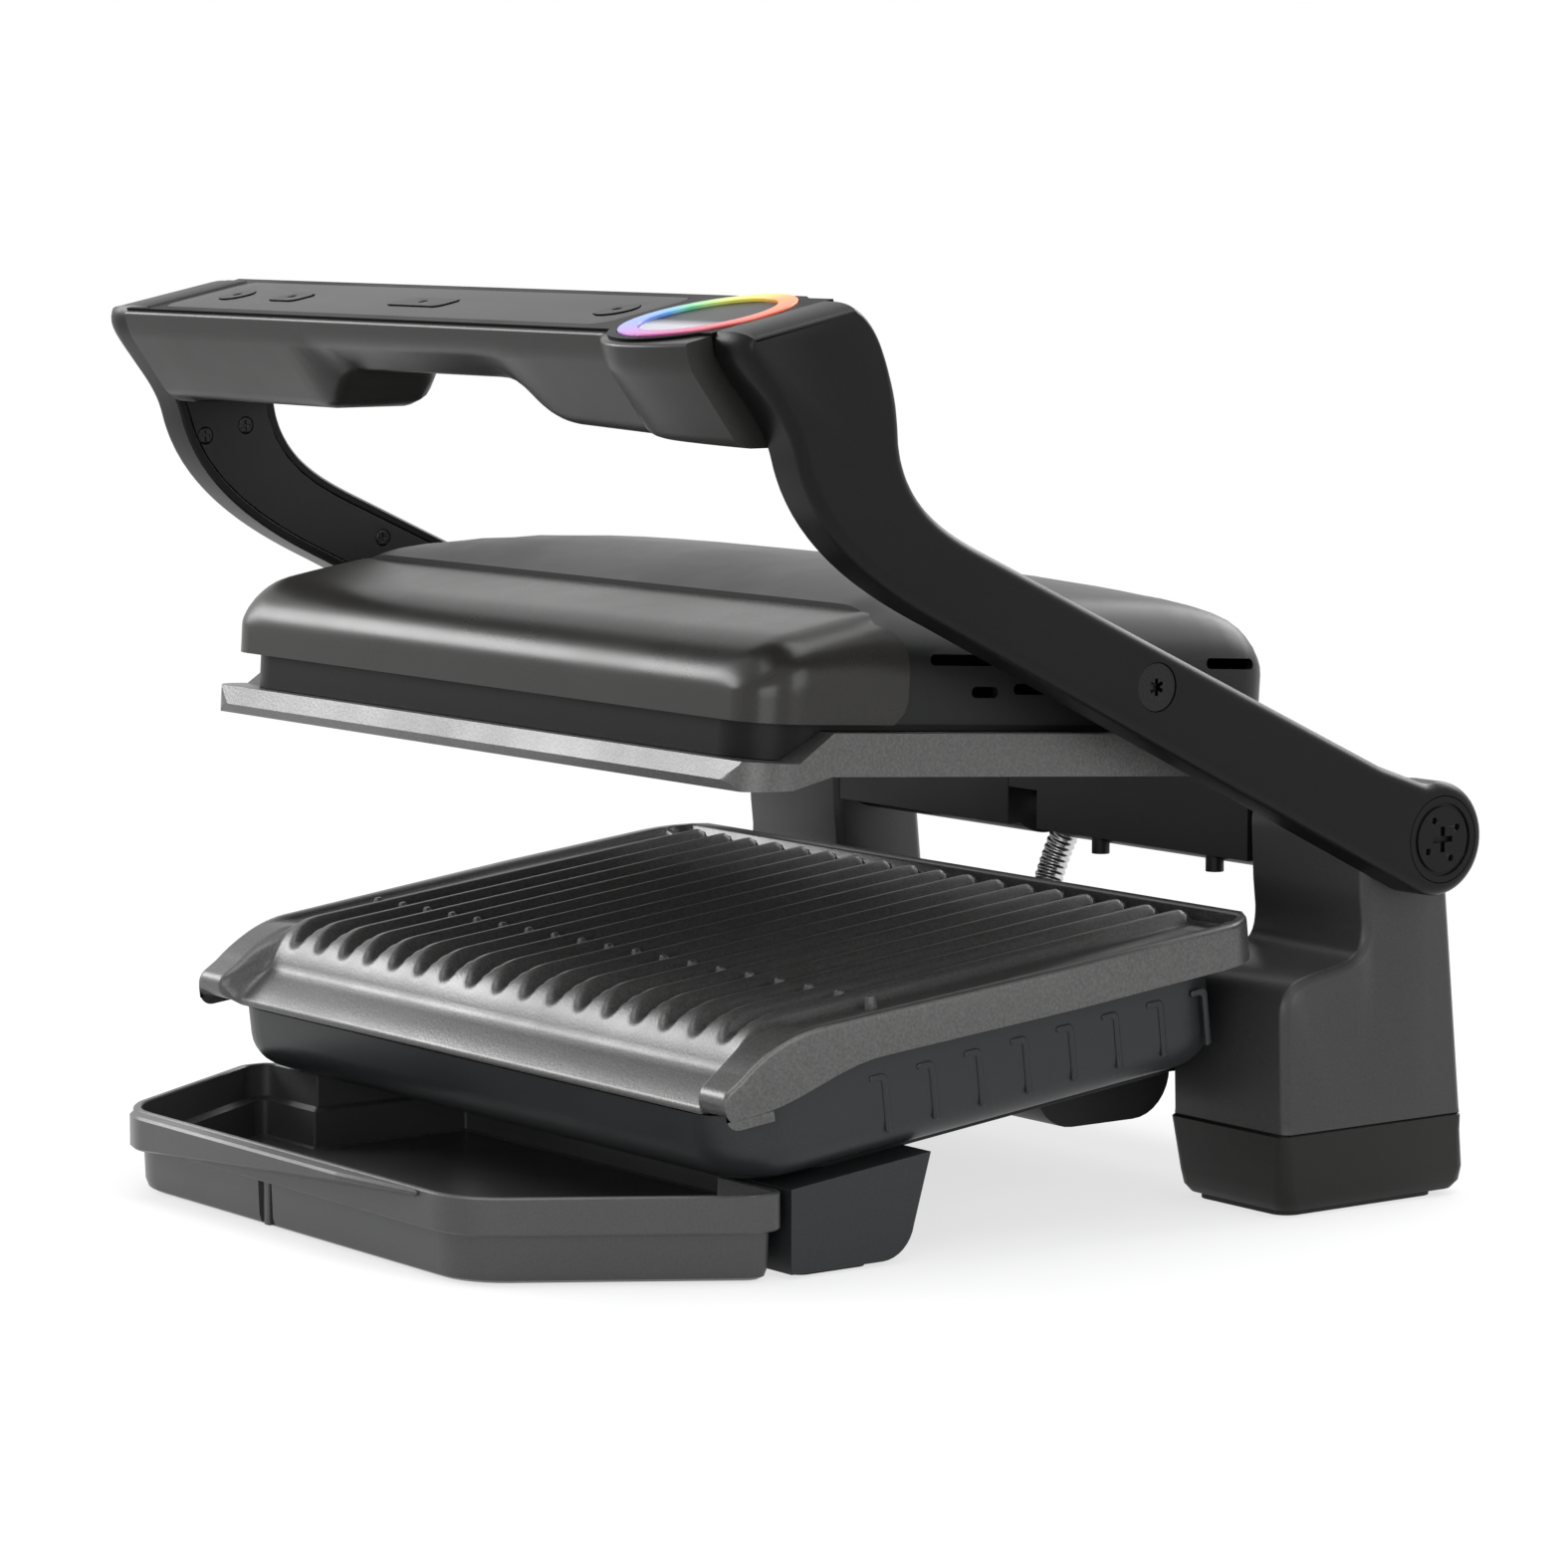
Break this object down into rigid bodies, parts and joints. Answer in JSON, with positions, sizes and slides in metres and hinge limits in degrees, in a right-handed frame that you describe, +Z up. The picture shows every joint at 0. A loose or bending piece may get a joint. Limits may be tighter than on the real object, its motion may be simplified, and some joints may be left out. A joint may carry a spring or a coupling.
{
  "type": "electric indoor grill with lid",
  "caption": "Countertop contact grill: sloping ribbed plate over a drip tray, and an upper plate in a domed lid hung from two S-shaped arms with a handle.",
  "frame": {"origin": "centre of the bounding box at the level of the table", "axes": "+X to the user's right, +Y to the back, +Z up"},
  "size_m": [0.362, 0.346, 0.29],
  "materials": {
    "tub_plastic": "blue-grey charcoal moulding, fine texture",
    "black_plastic": "black moulding",
    "tower_plastic": "charcoal moulding with a satin sheen",
    "shoe_plastic": "black moulding, soft sheen",
    "pad_rubber": "black non-slip pads",
    "bush_brass": "turned",
    "washer_steel": "plain",
    "screw_steel": "zinc plated",
    "nonstick_plate": "die-cast, dark non-stick coating with fine speckle",
    "heater_metal": "sheathed element",
    "reflector_aluminium": "bright sheet",
    "sensor_brass": "turned",
    "circuit_board": "solder mask",
    "terminal_plastic": "moulded",
    "fuse_metal": "plain",
    "inlet_rubber": "moulded grommet",
    "key_plastic": "moulded",
    "tray_plastic": "dark grey, satin",
    "shaft_steel": "ground",
    "arm_plastic": "black, satin",
    "bar_steel": "plain",
    "liner_plastic": "black moulding",
    "black_screw": "blackened steel",
    "crossbar_plastic": "black moulding",
    "handle_plastic": "charcoal, satin",
    "deck_plastic": "black, smooth",
    "panel_gloss": "black, glossy",
    "ring_colours": "ring that runs from blue through green, yellow and orange to purple",
    "lens_smoke": "smoked lens",
    "button_plastic": "smooth",
    "conduit_steel": "wound and ribbed",
    "lid_plastic": "charcoal, satin",
    "cover_metal": "charcoal, satin",
    "frame_plastic": "black moulding"
  },
  "bodies": {
    "base": {"base_tub": "tub_plastic", "base_floor": "black_plastic", "base_frame": "black_plastic", "tower_left": "tower_plastic", "tower_right": "tower_plastic", "shoe_left": "shoe_plastic", "shoe_right": "shoe_plastic", "front_foot_left": "tub_plastic", "front_foot_right": "tub_plastic", "foot_pads": "pad_rubber", "tower_bushes": "bush_brass", "hinge_washers": "washer_steel", "base_screws": "screw_steel", "lower_plate": "nonstick_plate", "lower_heater": "heater_metal", "lower_reflector": "reflector_aluminium", "lower_sensor": "sensor_brass", "power_board": "circuit_board", "terminal_block": "terminal_plastic", "thermal_fuse": "fuse_metal", "cord_inlet": "inlet_rubber", "feed_conduit": "conduit_steel"},
    "arms": {"hinge_shaft": "shaft_steel", "arm_left": "arm_plastic", "arm_right": "arm_plastic", "arm_bar_left": "bar_steel", "arm_bar_right": "bar_steel", "arm_liner_left": "liner_plastic", "arm_liner_right": "liner_plastic", "liner_screws": "black_screw", "hub_cap_left": "arm_plastic", "hub_cap_right": "arm_plastic", "pivot_screws": "black_screw", "crossbar_left": "crossbar_plastic", "crossbar_right": "crossbar_plastic", "thickness_sensor": "circuit_board", "handle_body": "handle_plastic", "handle_deck": "deck_plastic", "panel_film": "panel_gloss", "control_board": "circuit_board", "indicator_ring": "ring_colours", "ring_lens": "lens_smoke"},
    "lid": {"lid_rear": "lid_plastic", "lid_cover": "cover_metal", "lid_frame": "frame_plastic", "upper_plate": "nonstick_plate", "upper_heater": "heater_metal", "upper_reflector": "reflector_aluminium", "upper_sensor": "sensor_brass", "pivot_bushes": "bush_brass", "lid_screws": "screw_steel"},
    "tray": {"drip_tray": "tray_plastic"},
    "lower_key": {"lower_release": "key_plastic"},
    "upper_key": {"upper_release": "key_plastic"},
    "power_key": {"power_button": "button_plastic"},
    "frozen_key": {"frozen_button": "button_plastic"},
    "program_key": {"program_button": "button_plastic"},
    "ok_key": {"ok_button": "button_plastic"}
  },
  "joints": [
    {"name": "lid_hinge", "type": "hinge", "parent": "base", "child": "arms", "pos_m": [0, 0.146, 0.118], "axis": [-1, 0, 0], "range_deg": [-24.4, 65], "deforming": ["feed_conduit"]},
    {"name": "housing_pivot", "type": "hinge", "parent": "arms", "child": "lid", "pos_m": [0, 0.02899, 0.17231], "axis": [-1, 0, 0], "range_deg": [-38, 14.4]},
    {"name": "tray_slide", "type": "slide", "parent": "base", "child": "tray", "axis": [0, -1, 0], "range_m": [0, 0.15]},
    {"name": "lower_key_press", "type": "slide", "parent": "base", "child": "lower_key", "axis": [1, 0, 0], "range_m": [0, 0.003], "stiffness_N_per_m": 500, "springref_m": -0.002},
    {"name": "upper_key_press", "type": "slide", "parent": "lid", "child": "upper_key", "axis": [1, 0, 0], "range_m": [0, 0.003], "stiffness_N_per_m": 500, "springref_m": -0.002},
    {"name": "power_press", "type": "slide", "parent": "arms", "child": "power_key", "axis": [0, 0.2045, -0.9789], "range_m": [0, 0.0008], "stiffness_N_per_m": 800, "springref_m": -0.0008},
    {"name": "frozen_press", "type": "slide", "parent": "arms", "child": "frozen_key", "axis": [0, 0.2045, -0.9789], "range_m": [0, 0.0008], "stiffness_N_per_m": 800, "springref_m": -0.0008},
    {"name": "program_press", "type": "slide", "parent": "arms", "child": "program_key", "axis": [0, 0.2045, -0.9789], "range_m": [0, 0.0008], "stiffness_N_per_m": 800, "springref_m": -0.0008},
    {"name": "ok_press", "type": "slide", "parent": "arms", "child": "ok_key", "axis": [0, 0.2045, -0.9789], "range_m": [0, 0.0008], "stiffness_N_per_m": 800, "springref_m": -0.0008}
  ],
  "couplings": [
    {"joint": "housing_pivot", "follows": "lid_hinge", "ratio": -0.582}
  ]
}
